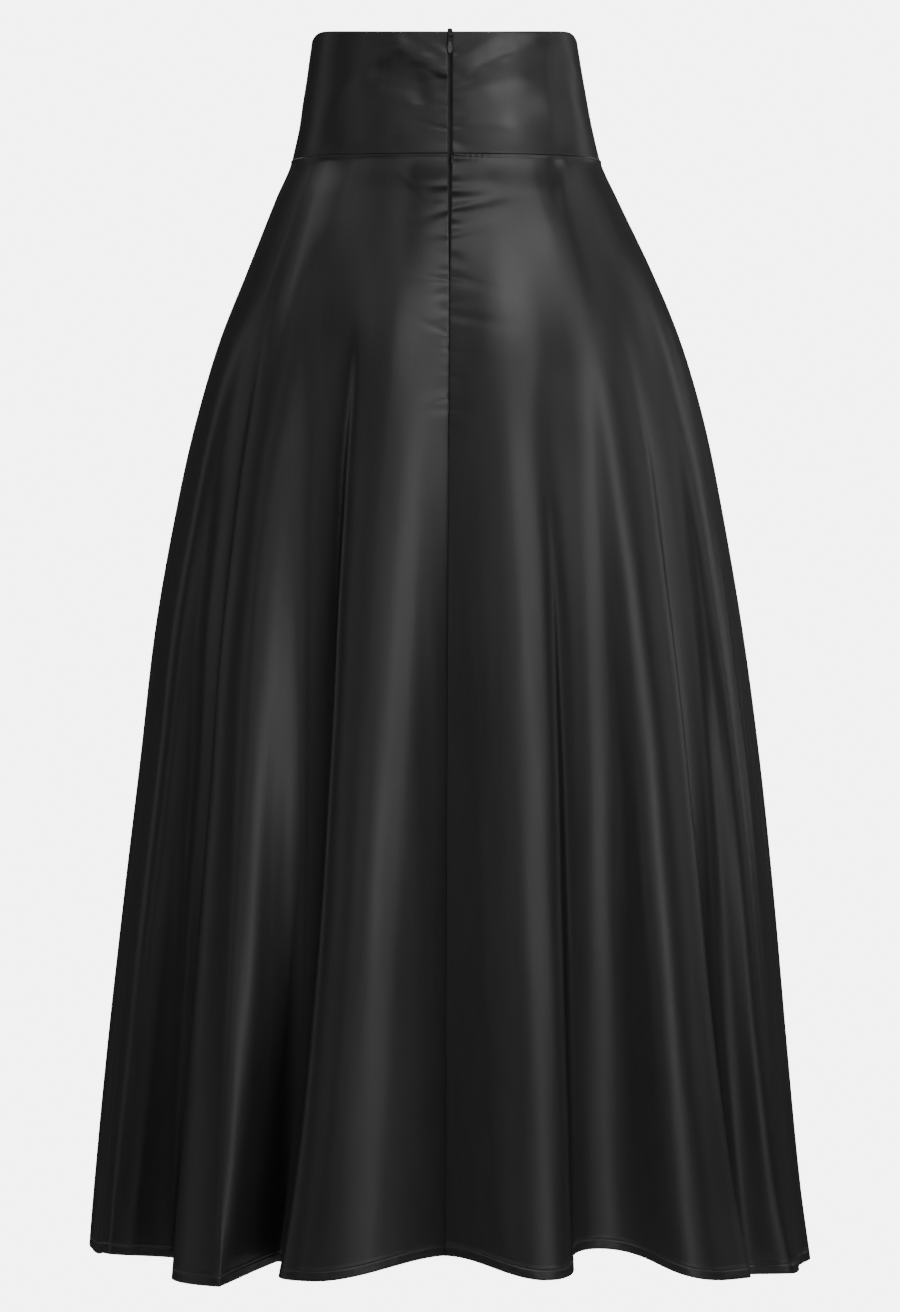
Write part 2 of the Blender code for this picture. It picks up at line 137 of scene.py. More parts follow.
# From the left side seam round the back to the right side seam, then the front. Levels, sinks and lifts in
# millimetres, angles and sweeps in degrees
FOLDS = [
    Fold("left side seam crest", -90, -90, 0, -180, 8, 0.4, 0, 0.9),
    Fold("left side hollow", -78, -80, 4, -240, 3, 0.4, 0, 0.9),
    Fold("far left crest", -68, -70, 2, -200, 6, 0.7, 0, 0.9),
    Fold("far left hollow", -57, -61.5, 56, -150, 3, 1.2, -3, 0.9),
    Fold("left crest", -48, -37.5, 0, -170, -12, 0.4, 0, 0.9),
    Fold("left hollow", -33.5, -27.5, 72, -110, 6, 1.25, -8.5, 0.75),
    Fold("left centre crest", -12.5, -18.3, 0, -150, -4, 0.0, -2.5, 0.9),
    Fold("centre back seam hollow", 0, -1, 60, -120, 15, 0.0, 0, 0.6),
    Fold("right centre crest", 12.7, 16.4, 34, -170, -5, 0.9, 0, 0.9),
    Fold("right hollow", 29, 28.5, 60, -110, 19, 0.6, 0, 0.9),
    Fold("right crest", 41, 44, 0, -170, -9, 1.0, 3.5, 0.9),
    Fold("far right hollow", 54, 61, 46, -140, -13, 0.6, 6, 0.9),
    Fold("far right crest", 68, 69, 4, -170, -12, 0.4, 3, 0.9),
    Fold("right side hollow", 79, 80, 8, -240, -8, 0.4, 1, 0.9),
    Fold("right side seam crest", 90, 90, 0, -180, -6, 0.55, 0, 0.9),
    Fold("front right side hollow", 104, 106, 46, -200, 0, 0.55, 0, 0.9),
    Fold("front right side crest", 119, 121, 2, -190, -4, 0.6, 0, 0.9),
    Fold("front right hollow", 133, 136, 58, -180, 8, 0.75, 0, 0.9),
    Fold("front right crest", 150, 152, 0, -190, -6, 0.7, 0, 0.9),
    Fold("front right centre hollow", 166, 167, 50, -220, 6, 0.5, 0, 0.9),
    Fold("front centre crest", 181, 182, 4, -200, -4, 0.6, 0, 0.9),
    Fold("front left centre hollow", 196, 196, 54, -190, 7, 0.8, 0, 0.9),
    Fold("front left crest", 211, 210, 0, -170, -5, 0.6, 0, 0.9),
    Fold("front left hollow", 227, 225, 60, -190, 8, 0.7, 0, 0.9),
    Fold("front left side crest", 242, 241, 2, -200, -5, 0.5, 0, 0.9),
    Fold("front left side hollow", 256, 256, 44, -190, 6, 0.55, 0, 0.9),
]
LEFT_SIDE_SEAM, CENTRE_BACK_SEAM, RIGHT_SIDE_SEAM = 0, 7, 14
FOLD_COUNT = len(FOLDS)
FOLD_ROWS = np.array([fold[1:] for fold in FOLDS], float)
TOP_ANGLE, HEM_ANGLE, SINK, STARTS_Z, HEM_LIFT, BULGE, SWEEP, GROWTH = FOLD_ROWS.T
FOLD_SOFT_START = 0.08


def ease(share):
    return (1 - np.cos(np.pi * share)) / 2


def sink_share(here, share):
    """How the sink runs from one row to the next: a wave, but straight-sided in the centre back valley."""
    into_valley = 1 - (4 * (1 - share) - (1 - share) ** 4) / 3
    out_of_valley = (5 * share - share**5) / 4
    out = np.where(here == CENTRE_BACK_SEAM, out_of_valley, ease(share))
    return np.where(here == CENTRE_BACK_SEAM - 1, into_valley, out)


def between_folds(station):
    """The row before and after a station, the share of the way, and a full turn where the front closes."""
    here = np.floor(station).astype(int)
    share = station - here
    there = here + 1
    return here % FOLD_COUNT, there % FOLD_COUNT, share, np.where(there == FOLD_COUNT, 360.0, 0.0)


def fold_growth(row, z):
    share = np.maximum((STARTS_Z[row] * MM - z) / (STARTS_Z[row] * MM - HEM_Z), 0)
    return share ** GROWTH[row] * share / (share + FOLD_SOFT_START)


def fold_angle(row, z):
    """The angle of a fold at level z. Its sweep carries it aside just above the hem."""
    down = np.clip((WAIST_SEAM_Z - z) / (WAIST_SEAM_Z - HEM_Z), 0, 1.05)
    return TOP_ANGLE[row] + (HEM_ANGLE[row] - TOP_ANGLE[row]) * down + SWEEP[row] * down**6


def on_skirt(station, z):
    """Points of the skirt's smooth outer face. Stations number the rows of FOLDS."""
    here, there, share, full_turn = between_folds(station)
    growth = fold_growth(here, z)
    turned = share + BULGE[here] * np.sqrt(growth) * np.sin(2 * np.pi * share) / (2 * np.pi)
    angle_here = fold_angle(here, z)
    angle_there = fold_angle(there, z) + full_turn
    sink_here = SINK[here] * growth
    sink_there = SINK[there] * fold_growth(there, z)
    sink = (sink_here + (sink_there - sink_here) * sink_share(here, share)) * MM
    point = on_envelope(angle_here + (angle_there - angle_here) * turned, z)
    radius = np.hypot(point[..., 0], point[..., 1])
    point[..., :2] *= (1 - sink / radius)[..., None]
    return point


def hem_level(station):
    """The hem: level behind, and rising from the side seams to the centre front."""
    here, there, share, full_turn = between_folds(station)
    angle = HEM_ANGLE[here] + (HEM_ANGLE[there] + full_turn - HEM_ANGLE[here]) * share
    lift = (HEM_LIFT[here] + (HEM_LIFT[there] - HEM_LIFT[here]) * ease(share)) * MM
    past_side = np.radians(np.clip(np.abs(angle), 90, 270) - 90)
    return HEM_Z + lift + FRONT_RISE * np.sin(past_side) ** 2


print(f"{FOLD_COUNT // 2} folds round the hem")

# %% [markdown]
# ## Cloth that is not quite smooth
#
# Satin shows every small pull. Where the zip is sewn in, the stitches shorten the cloth and it puckers in
# short level dents, each a little different. Each is a small valley, deepest at the seam. A seeded generator
# picks their places and sizes, so the cloth is uneven but the same every time. The few longer creases are
# listed one by one.

# %% Puckers beside the zip, and a soft unevenness
Pucker = namedtuple("Pucker", "z reach width depth slant")


def make_puckers(seed, z_top, z_bottom, count, depth, reach):
    """Puckers strewn down a seam, deeper and longer where luck has it."""
    luck = np.random.default_rng(seed)
    heights = np.linspace(z_top, z_bottom, count) + luck.normal(0, 0.3, count) * (z_top - z_bottom) / count
    return [
        Pucker(
            z,
            reach * luck.uniform(0.45, 1.6),
            luck.uniform(2.0, 4.6) * MM,
            depth * luck.uniform(0.25, 1.35),
            luck.normal(0.0, 0.22),
        )
        for z in heights
    ]


def pucker_relief(distance, z, puckers):
    """How far a set of puckers dents the cloth, at distances from the seam in metres."""
    dent = np.zeros_like(z)
    for p in puckers:
        off = (z - p.z - p.slant * distance) / (p.width * (1 + distance / p.reach * 0.5))
        dent -= p.depth * np.exp(-(off**2) - (distance / p.reach) ** 1.5)
    return dent


Crease = namedtuple("Crease", "x0 z0 x1 z1 width height")


def crease_relief(x, z, creases):
    """Ridges and valleys, each a soft line between two points. A negative height is a valley."""
    relief = np.zeros_like(z)
    for c in creases:
        run_x, run_z = c.x1 - c.x0, c.z1 - c.z0
        off_x, off_z = x / MM - c.x0, z / MM - c.z0
        share = np.clip((off_x * run_x + off_z * run_z) / (run_x**2 + run_z**2), 0, 1)
        away = np.hypot(off_x - share * run_x, off_z - share * run_z)
        relief += c.height * MM * np.exp(-((away / c.width) ** 2)) * (1 - 0.45 * share)
    return relief


# Across and level in millimetres, from the zip outwards, as they show in the band behind
BAND_CREASES_LEFT = [
    Crease(-3, 16, -46, 43, 8.0, 1.9),
    Crease(-46, 43, -90, 8, 9.0, 1.2),
    Crease(-16, 0, -62, 19, 14.0, -3.4),
    Crease(-3, 34, -32, 52, 4.0, 0.6),
    Crease(-3, -14, -34, -12, 4.0, 0.8),
    Crease(-3, -27, -48, -36, 5.0, -0.8),
]
BAND_CREASES_RIGHT = [
    Crease(4, 13, 50, 35, 6.5, -1.1),
    Crease(50, 35, 80, 49, 8.0, -0.7),
    Crease(4, 29, 40, 50, 6.0, 0.6),
    Crease(4, -2, 62, 14, 9.0, 0.9),
    Crease(87, 40, 90, -44, 8.0, 0.9),
    Crease(99, 36, 102, -44, 8.0, -0.8),
    Crease(110, 30, 136, -28, 4.5, 0.5),
    Crease(4, -22, 52, -30, 6.0, -0.6),
]
# One broad soft ridge down the right hip, which carries the light from the waist seam to the first fold
HIP_CREASES_RIGHT = [
    Crease(102, -66, 92, -240, 26.0, 2.3),
]
# Seed, top level, bottom level, count, depth and reach
BAND_PUCKERS_LEFT = make_puckers(11, 0.042, -0.044, 16, 0.75 * MM, 15 * MM)
BAND_PUCKERS_RIGHT = make_puckers(12, 0.040, -0.044, 14, 0.55 * MM, 10 * MM)
SKIRT_PUCKERS_LEFT = make_puckers(13, -0.062, -0.315, 22, 0.75 * MM, 13 * MM)
SKIRT_PUCKERS_RIGHT = make_puckers(14, -0.060, -0.300, 22, 1.0 * MM, 20 * MM)


def soft_waves(u, v, seed, sizes):
    """A smooth unevenness between about -1 and 1, from a few seeded waves of the sizes given in metres."""
    luck = np.random.default_rng(seed)
    total = np.zeros(np.broadcast(u, v).shape)
    for across_size, down_size in sizes:
        phases = luck.uniform(0, 2 * np.pi, 4)
        tilt = luck.uniform(-0.4, 0.4)
        across = 2 * np.pi * u / across_size
        down = 2 * np.pi * v / down_size
        wander = 1.3 * np.sin(across / 1.7 + phases[2])
        total += np.sin(across + tilt * down + phases[0]) * np.sin(down + phases[1] + wander)
    return total / len(sizes)


print(len(SKIRT_PUCKERS_LEFT) + len(SKIRT_PUCKERS_RIGHT), "puckers beside the zip below the waist")

# %% [markdown]
# ## From points to cloth
#
# A sewn edge is never a cut edge: at a seam the cloth rolls inwards, and at the hem it rolls right round and
# lies against its own inside. These helpers add that to the border of a grid of points. A roll is an arc
# about a centre under the edge, so it meets the panel without a kink.

# %% Helpers for rolled edges
ROLL = 0.7 * MM


def unit(vectors):
    return vectors / np.maximum(np.linalg.norm(vectors, axis=-1, keepdims=True), 1e-12)


def outward(points):
    """Outward normals of a grid whose rows run down and columns run left to right, seen from outside."""
    return unit(np.cross(np.gradient(points, axis=0), np.gradient(points, axis=1)))


def rolled_border(points, normals, angles, tail=0.0):
    """Points and normals of a roll past the last row of a grid. tail goes on straight after the roll."""
    edge, normal = points[-1], normals[-1]
    forward = unit(edge - points[-2])
    forward = unit(forward - normal * (forward * normal).sum(-1, keepdims=True))
    centre = edge - normal * ROLL
    new_points, new_normals = [], []
    for angle in angles:
        turn = math.radians(angle)
        direction = normal * math.cos(turn) + forward * math.sin(turn)
        new_points.append(centre + direction * ROLL)
        new_normals.append(direction)
    if tail:
        turn = math.radians(angles[-1])
        onward = forward * math.cos(turn) - normal * math.sin(turn)
        new_points.append(new_points[-1] + onward * tail)
        new_normals.append(new_normals[-1])
    return np.array(new_points), np.array(new_normals)


def turned(array, side):
    """The grid turned so that the named side becomes its last rows. Turning again puts it back."""
    if side in ("left", "right"):
        array = array.swapaxes(0, 1)
    return array[::-1] if side in ("left", "top") else array


def turned_back(array, side):
    if side in ("left", "top"):
        array = array[::-1]
    return array.swapaxes(0, 1) if side in ("left", "right") else array


def roll_side(points, normals, side, angles=(30, 60, 90), tail=0.7 * MM):
    """The grid with one of its sides rolled inwards."""
    p, n = turned(points, side), turned(normals, side)
    more_p, more_n = rolled_border(p, n, angles, tail)
    return (
        turned_back(np.concatenate([p, more_p]), side),
        turned_back(np.concatenate([n, more_n]), side),
    )


def turn_hem(points, normals, rows):
    """The grid with its last side folded right round and laid up its own inside for a number of rows."""
    more_p, more_n = rolled_border(points, normals, (40, 80, 120, 160, 180))
    inside = [points[-1 - k] - normals[-1 - k] * 2 * ROLL for k in range(1, rows + 1)]
    inside_n = [-normals[-1 - k] for k in range(1, rows + 1)]
    return np.concatenate([points, more_p, inside]), np.concatenate([normals, more_n, inside_n])


CLOTH = 0.45 * MM


def in_scene(name, data):
    piece = bpy.data.objects.new(name, data)
    bpy.context.scene.collection.objects.link(piece)
    return piece


def cloth_piece(name, points, material, inside_material, hem_row=None, wall=CLOTH):
    """A mesh from a grid of points, with the cloth's own metres as its UV map, and a thin wall inwards."""
    down, across = points.shape[:2]
    index = np.arange(down * across).reshape(down, across)
    quads = np.stack([index[:-1, :-1], index[1:, :-1], index[1:, 1:], index[:-1, 1:]], -1).reshape(-1, 4)
    mesh = bpy.data.meshes.new(name)
    mesh.from_pydata(points.reshape(-1, 3).tolist(), [], quads.tolist())
    steps_across = np.linalg.norm(np.diff(points, axis=1), axis=2).mean(0)
    steps_down = np.linalg.norm(np.diff(points, axis=0), axis=2)
    u = np.broadcast_to(np.concatenate([[0], np.cumsum(steps_across)]), (down, across))
    v = np.concatenate([np.zeros((1, across)), np.cumsum(steps_down, 0)])
    v = v[hem_row if hem_row is not None else -1][None] - v
    uv = np.stack([u, v], -1).reshape(-1, 2)
    layer = mesh.uv_layers.new(name="cloth")
    corners = np.zeros(len(mesh.loops), int)
    mesh.loops.foreach_get("vertex_index", corners)
    layer.data.foreach_set("uv", uv[corners].ravel())
    mesh.materials.append(material)
    mesh.materials.append(inside_material)
    mesh.shade_smooth()
    piece = in_scene(name, mesh)
    solidify = piece.modifiers.new("cloth wall", "SOLIDIFY")
    solidify.thickness = wall
    solidify.offset = -1
    solidify.material_offset = 1
    area = np.linalg.norm(
        np.cross(points[1:, :-1] - points[:-1, :-1], points[:-1, 1:] - points[:-1, :-1]), axis=-1
    ).sum()
    print(f"{name}: {down} x {across} points, {area:.3f} square metres of cloth")
    return piece


# %% [markdown]
# ## The satin
#
# Satin is black yarn floated over the surface in one direction, so it is glossy but blurred: a highlight runs
# down each fold and fades softly to its sides. A Principled shader with a dark base, a middling roughness and
# some anisotropy does this, with its direction taken from the cloth's own UV map. Very fine noise, drawn out
# along the yarn, breaks the gloss up as the real floats do.

# %% Material helpers
def new_material(name):
    material = bpy.data.materials.new(name)
    material.use_nodes = True
    nodes, links = material.node_tree.nodes, material.node_tree.links
    return material, nodes, links, nodes["Principled BSDF"]


def math_node(nodes, links, operation, first, second=None):
    node = nodes.new("ShaderNodeMath")
    node.operation = operation
    for socket, value in zip(node.inputs, (first, second)):
        if value is None:
            continue
        if isinstance(value, (int, float)):
            socket.default_value = value
        else:
            links.new(value, socket)
    return node.outputs[0]


def noise(nodes, links, vector, scale, detail, stretch=(1, 1, 1)):
    mapping = nodes.new("ShaderNodeMapping")
    mapping.inputs["Scale"].default_value = stretch
    links.new(vector, mapping.inputs["Vector"])
    texture = nodes.new("ShaderNodeTexNoise")
    texture.inputs["Scale"].default_value = scale
    texture.inputs["Detail"].default_value = detail
    links.new(mapping.outputs["Vector"], texture.inputs["Vector"])
    return texture.outputs["Fac"]


def spread(nodes, links, value, low, high, from_low=0.3, from_high=0.7):
    node = nodes.new("ShaderNodeMapRange")
    node.inputs["From Min"].default_value = from_low
    node.inputs["From Max"].default_value = from_high
    node.inputs["To Min"].default_value = low
    node.inputs["To Max"].default_value = high
    links.new(value, node.inputs["Value"])
    return node.outputs["Result"]


def bump(nodes, links, height, distance, strength, below=None):
    node = nodes.new("ShaderNodeBump")
    node.inputs["Distance"].default_value = distance
    node.inputs["Strength"].default_value = strength
    links.new(height, node.inputs["Height"])
    if below is not None:
        links.new(below, node.inputs["Normal"])
    return node.outputs["Normal"]


def mixed_colour(nodes, links, share, dark, light):
    """A colour between a dark one and a light one, by a share from 0 to 1."""
    tint = nodes.new("ShaderNodeMix")
    tint.data_type = "RGBA"
    tint.inputs[6].default_value = (*dark, 1)
    tint.inputs[7].default_value = (*light, 1)
    links.new(share, tint.inputs[0])
    return tint.outputs[2]


# %% The satin's face and its duller back
# How often each pattern repeats in a metre, across the cloth and down it
FLOATS = (2600, 420, 1)
SLUBS = (240, 26, 1)
GRAIN = (620, 260, 1)
HEM_RIPPLES = (150, 90, 1)


def make_satin(name, dark, light, roughness, anisotropy, hem_stitch=0.0):
    material, nodes, links, shader = new_material(name)
    uv = nodes.new("ShaderNodeUVMap")
    uv.uv_map = "cloth"
    cloth = uv.outputs["UV"]
    floats = noise(nodes, links, cloth, 1.0, 3.0, FLOATS)
    slubs = noise(nodes, links, cloth, 1.0, 2.0, SLUBS)
    handling = noise(nodes, links, cloth, 9.0, 2.0, (1, 0.5, 1))
    tint = mixed_colour(nodes, links, spread(nodes, links, slubs, 0.0, 1.0), dark, light)
    links.new(tint, shader.inputs["Base Color"])
    gloss = spread(nodes, links, handling, roughness - 0.025, roughness + 0.025)
    links.new(gloss, shader.inputs["Roughness"])
    shader.inputs["Anisotropic"].default_value = anisotropy
    shader.inputs["Specular IOR Level"].default_value = 0.5
    tangent = nodes.new("ShaderNodeTangent")
    tangent.direction_type = "UV_MAP"
    tangent.uv_map = "cloth"
    links.new(tangent.outputs["Tangent"], shader.inputs["Tangent"])
    grain = noise(nodes, links, cloth, 1.0, 1.0, GRAIN)
    weave = bump(nodes, links, floats, 0.05 * MM, 0.35)
    grained = bump(nodes, links, grain, 0.09 * MM, 0.5, weave)
    uneven = bump(nodes, links, slubs, 0.06 * MM, 0.3, grained)
    links.new(uneven, shader.inputs["Normal"])
    if hem_stitch:
        split = nodes.new("ShaderNodeSeparateXYZ")
        links.new(cloth, split.inputs["Vector"])
        up = split.outputs["Y"]
        above_line = math_node(nodes, links, "SUBTRACT", up, hem_stitch)
        off_line = math_node(nodes, links, "ABSOLUTE", above_line)
        groove = spread(nodes, links, off_line, 0.0, 1.0, 0.0, 1.3 * MM)
        turn_only = spread(nodes, links, up, 1.0, 0.0, hem_stitch * 0.9, hem_stitch * 1.5)
        ripples = noise(nodes, links, cloth, 1.0, 1.0, HEM_RIPPLES)
        rippled = math_node(nodes, links, "MULTIPLY", ripples, turn_only)
        below = bump(nodes, links, groove, 0.55 * MM, 0.7, uneven)
        links.new(bump(nodes, links, rippled, 1.2 * MM, 0.5, below), shader.inputs["Normal"])
    return material


# %% The zip's cloth, enamel and thread
def make_woven(name, colour, roughness):
    """A plain matt weave, for the zip's tape and for thread."""
    material, nodes, links, shader = new_material(name)
    place = nodes.new("ShaderNodeTexCoord")
    threads = noise(nodes, links, place.outputs["Object"], 1.0, 1.0, (900, 900, 2400))
    shader.inputs["Base Color"].default_value = (*colour, 1)
    shader.inputs["Roughness"].default_value = roughness
    shader.inputs["Specular IOR Level"].default_value = 0.4
    links.new(bump(nodes, links, threads, 0.1 * MM, 0.5), shader.inputs["Normal"])
    return material


def make_enamel(name, dark, light, roughness, metallic):
    """Painted or plated metal, a little worn, so its gloss varies."""
    material, nodes, links, shader = new_material(name)
    place = nodes.new("ShaderNodeTexCoord")
    wear = noise(nodes, links, place.outputs["Object"], 900.0, 3.0)
    tint = mixed_colour(nodes, links, spread(nodes, links, wear, 0.0, 1.0), dark, light)
    links.new(tint, shader.inputs["Base Color"])
    gloss = spread(nodes, links, wear, roughness - 0.04, roughness + 0.06)
    links.new(gloss, shader.inputs["Roughness"])
    shader.inputs["Metallic"].default_value = metallic
    return material


ENAMEL = make_enamel("black_enamel", (0.004, 0.004, 0.004), (0.010, 0.010, 0.011), 0.32, 0.0)
TEETH = make_enamel("black_teeth", (0.004, 0.004, 0.004), (0.008, 0.008, 0.009), 0.45, 0.0)
POLISHED = make_enamel("dark_plated_metal", (0.085, 0.085, 0.088), (0.12, 0.12, 0.124), 0.38, 0.9)
THREAD = make_woven("black_thread", (0.006, 0.006, 0.0065), 0.8)

# %% The three satins
HEM_TURN = 8.0 * MM
SATIN_DARK, SATIN_LIGHT = (0.0098, 0.0094, 0.0110), (0.0128, 0.0123, 0.0140)
SATIN = make_satin("black_satin", SATIN_DARK, SATIN_LIGHT, 0.365, 0.5)
SATIN_HEMMED = make_satin("black_satin_hemmed", SATIN_DARK, SATIN_LIGHT, 0.365, 0.5, HEM_TURN)
SATIN_BACK = make_satin("black_satin_back", (0.010, 0.010, 0.011), (0.014, 0.014, 0.015), 0.62, 0.1)
print("satin:", SATIN.name, SATIN_HEMMED.name, SATIN_BACK.name)

# %% [markdown]
# ## The three skirt panels
#
# The two back panels run from the side seams to the zip, and the front is cut in one. Every point is found on
# the form first, and the small relief is then added along the surface's own normal: a slow unevenness, a low
# ridge along the waist seam, puckers at the zip, gathers, a short crease and a broad soft ridge on the right
# below the seam, and a slanting crease on the left.

# %% The relief of the skirt
ZIP_GAP_IN_BAND = 3.7 * MM
ZIP_GAP_CLOSES_Z = -190.0 * MM
# The sizes of the unevenness across and down, in metres, and the cloth that one station stands for
STATION_WIDTH = 0.09
BROAD_WAVES = ((0.21, 0.33), (0.12, 0.2), (0.33, 0.47))
NARROW_WAVES = ((0.034, 0.6), (0.057, 0.9))
NARROW_WAVES_START_Z = -0.28
CALM_BESIDE_SEAM = 0.012
GATHER_PITCH = 0.0052
SLANT_X, SLANT_Z = -0.036, -0.080


def zip_gap(z):
    """The gap between the back edges, which closes to a plain seam below the hips."""
    share = np.clip((WAIST_SEAM_Z - z) / (WAIST_SEAM_Z - ZIP_GAP_CLOSES_Z), 0, 1)
    return ZIP_GAP_IN_BAND + (SEAM_GAP - ZIP_GAP_IN_BAND) * ease(share)


def along_rows(points, seam_column):
    """Every point's distance from the seam column along its row."""
    steps = np.linalg.norm(np.diff(points, axis=1), axis=2)
    run = np.concatenate([np.zeros((len(points), 1)), np.cumsum(steps, 1)], 1)
    return np.abs(run - run[:, [seam_column]])


def hump(value, centre, width):
    return np.exp(-(((value - centre) / width) ** 2))


def skirt_relief(points, station, side):
    """The small relief of a panel: side is left or right of the zip, or front."""
    x, z = points[..., 0], points[..., 2]
    below_seam = WAIST_SEAM_Z - z
    along = station * STATION_WIDTH
    relief = 0.7 * MM * soft_waves(along, z, 31, BROAD_WAVES)
    growing = np.clip((NARROW_WAVES_START_Z - z) / 0.3, 0, 1)
    relief += 0.4 * MM * growing * soft_waves(along, z, 47, NARROW_WAVES)
    relief *= np.clip(below_seam / 0.12, 0, 1)
    for edge_column in (0, -1):
        relief *= 1 - hump(along_rows(points, edge_column), 0, CALM_BESIDE_SEAM)
    relief += 0.85 * MM * hump(z, WAIST_SEAM_Z - 1.2 * MM, 1.6 * MM)
    if side == "front":
        return relief
    distance = along_rows(points, -1 if side == "left" else 0)
    relief += pucker_relief(distance, z, SKIRT_PUCKERS_LEFT if side == "left" else SKIRT_PUCKERS_RIGHT)
    if side == "left":
        along_slant = (x - SLANT_X) * 0.55 - (z - SLANT_Z) * 0.83
        off_slant = (x - SLANT_X) * 0.83 + (z - SLANT_Z) * 0.55
        return relief - 0.6 * MM * hump(along_slant, 0, 0.013) * hump(off_slant, 0, 0.0022)
    gathers = np.exp(-below_seam / 0.004) * (1 + np.sin(2 * np.pi * x / GATHER_PITCH))
    relief -= 0.5 * MM * gathers * hump(x, 0.020, 0.014)
    crease = np.clip(below_seam / 0.004, 0, 1) * np.exp(-((below_seam / 0.032) ** 2))
    relief += MM * crease * (1.2 * hump(x, 0.102, 0.0055) - 0.7 * hump(x, 0.093, 0.0045))
    return relief + ease(np.clip(below_seam / 0.07, 0, 1)) * crease_relief(x, z, HIP_CREASES_RIGHT)


# %% Build the panels
PUCKERED_TO_Z = -0.31
HEM_ROWS = 5


def skirt_levels(upper_rows, lower_rows):
    """Shares of the way from waist to hem turn: close rows where the zip puckers, wider ones below."""
    upper_share = (WAIST_SEAM_Z - PUCKERED_TO_Z) / (WAIST_SEAM_Z - HEM_Z)
    return np.concatenate([
        upper_share * np.linspace(0, 1, upper_rows, endpoint=False) ** 1.3,
        upper_share + (1 - upper_share) * np.linspace(0, 1, lower_rows) ** 0.97,
    ])


def skirt_panel(name, first, last, columns, rows, side, gap_first, gap_last):
    station = np.linspace(first, last, columns)[None]
    top = WAIST_SEAM_Z - SEAM_GAP / 2 - ROLL
    bottom = hem_level(station) + ROLL
    share = skirt_levels(*rows)[:, None]
    z = top + (bottom + HEM_TURN - top) * share
    z = np.concatenate([z, bottom + HEM_TURN * (1 - np.arange(1, HEM_ROWS + 1)[:, None] / HEM_ROWS)])
    station = np.broadcast_to(station, z.shape)
    points = on_skirt(station, z)
    # Each edge is set back by its roll and half the gap, and by less where the panel leans into the valley
    for column, neighbour, gap in ((0, 1, gap_first), (-1, -2, gap_last)):
        inwards = unit(points[:, neighbour] - points[:, column])
        across = np.abs(inwards[:, 0]) if gap is zip_gap else np.ones(len(inwards))
        lean = np.sqrt(1 - across**2)
        points[:, column] += inwards * (gap(z[:, column]) / 2 + ROLL * (1 - lean) / across)[:, None]
    normals = outward(points)
    points = points + normals * skirt_relief(points, station, side)[..., None]
    normals = outward(points)
    for edge in ("top", "left", "right"):
        points, normals = roll_side(points, normals, edge)
    hem_row = len(points) - 1
    points, normals = turn_hem(points, normals, HEM_ROWS)
    piece = cloth_piece(name, points, SATIN_HEMMED, SATIN_BACK, hem_row)
    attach(piece, "garment")
    return piece, points[: hem_row + 1]


def plain_gap(z):
    return np.full_like(z, SEAM_GAP)


back_left, back_left_points = skirt_panel(
    "skirt_back_left_cloth", LEFT_SIDE_SEAM, CENTRE_BACK_SEAM, 140, (122, 110), "left", plain_gap, zip_gap
)
back_right, back_right_points = skirt_panel(
    "skirt_back_right_cloth", CENTRE_BACK_SEAM, RIGHT_SIDE_SEAM, 140, (122, 110), "right", zip_gap, plain_gap
)
front, front_points = skirt_panel(
    "skirt_front_cloth", RIGHT_SIDE_SEAM, FOLD_COUNT, 230, (50, 110), "front", plain_gap, plain_gap
)
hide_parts("skirt_back_left")
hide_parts("skirt_back_right")
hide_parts("skirt_front")

# %% [markdown]
# ## The waistband
#
# The band is tall and stiffened, so it has no folds, only the puckers beside the zip and a few soft creases.
# It is cut in three like the skirt, so its side seams meet the skirt's. Its top edge is turned in, and dips a
# little at each side seam, where four layers are pulled together.

# %% Build the waistband
BAND_TURN_ROWS = 6


def band_top_level(angle):
    across, along = np.abs(np.sin(np.radians(angle))), np.abs(np.cos(np.radians(angle)))
    return BAND_TOP_Z + BAND_SIDE_RISE * (1 - along) - BAND_SEAM_DIP * across**30


def band_relief(points, side):
    z = points[..., 2]
    relief = 0.35 * MM * soft_waves(points[..., 0], z, 41, ((0.09, 0.07), (0.055, 0.05)))
    if side == "front":
        return relief
    distance = along_rows(points, -1 if side == "left" else 0)
    relief += pucker_relief(distance, z, BAND_PUCKERS_LEFT if side == "left" else BAND_PUCKERS_RIGHT)
    creases = crease_relief(points[..., 0], z, BAND_CREASES_LEFT if side == "left" else BAND_CREASES_RIGHT)
    # The zip's tape lies close behind the cloth there, so a valley stays shallow over it
    over_tape = 0.15 + 0.85 * ease(np.clip((distance - 0.010) / 0.018, 0, 1))
    return relief + np.where(creases < 0, creases * over_tape, creases)


def band_panel(name, first, last, columns, rows, side, gap_first, gap_last):
    angle = np.linspace(first, last, columns)[None]
    top = band_top_level(angle) - ROLL
    bottom = WAIST_SEAM_Z + SEAM_GAP / 2 + ROLL
    z = top + (bottom - top) * np.linspace(0, 1, rows)[:, None]
    angle = np.broadcast_to(angle, z.shape)
    points = on_envelope(angle, z)
    for column, neighbour, gap in ((0, 1, gap_first), (-1, -2, gap_last)):
        inwards = unit(points[:, neighbour] - points[:, column])
        points[:, column] += inwards * (gap(z[:, column]) / 2 + ROLL)[:, None]
    normals = outward(points)
    points = points + normals * band_relief(points, side)[..., None]
    normals = outward(points)
    for edge in ("bottom", "left", "right"):
        points, normals = roll_side(points, normals, edge)
    points, normals = turn_hem(points[::-1], normals[::-1], BAND_TURN_ROWS)
    piece = cloth_piece(name, points[::-1], SATIN, SATIN_BACK)
    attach(piece, "garment")
    return piece


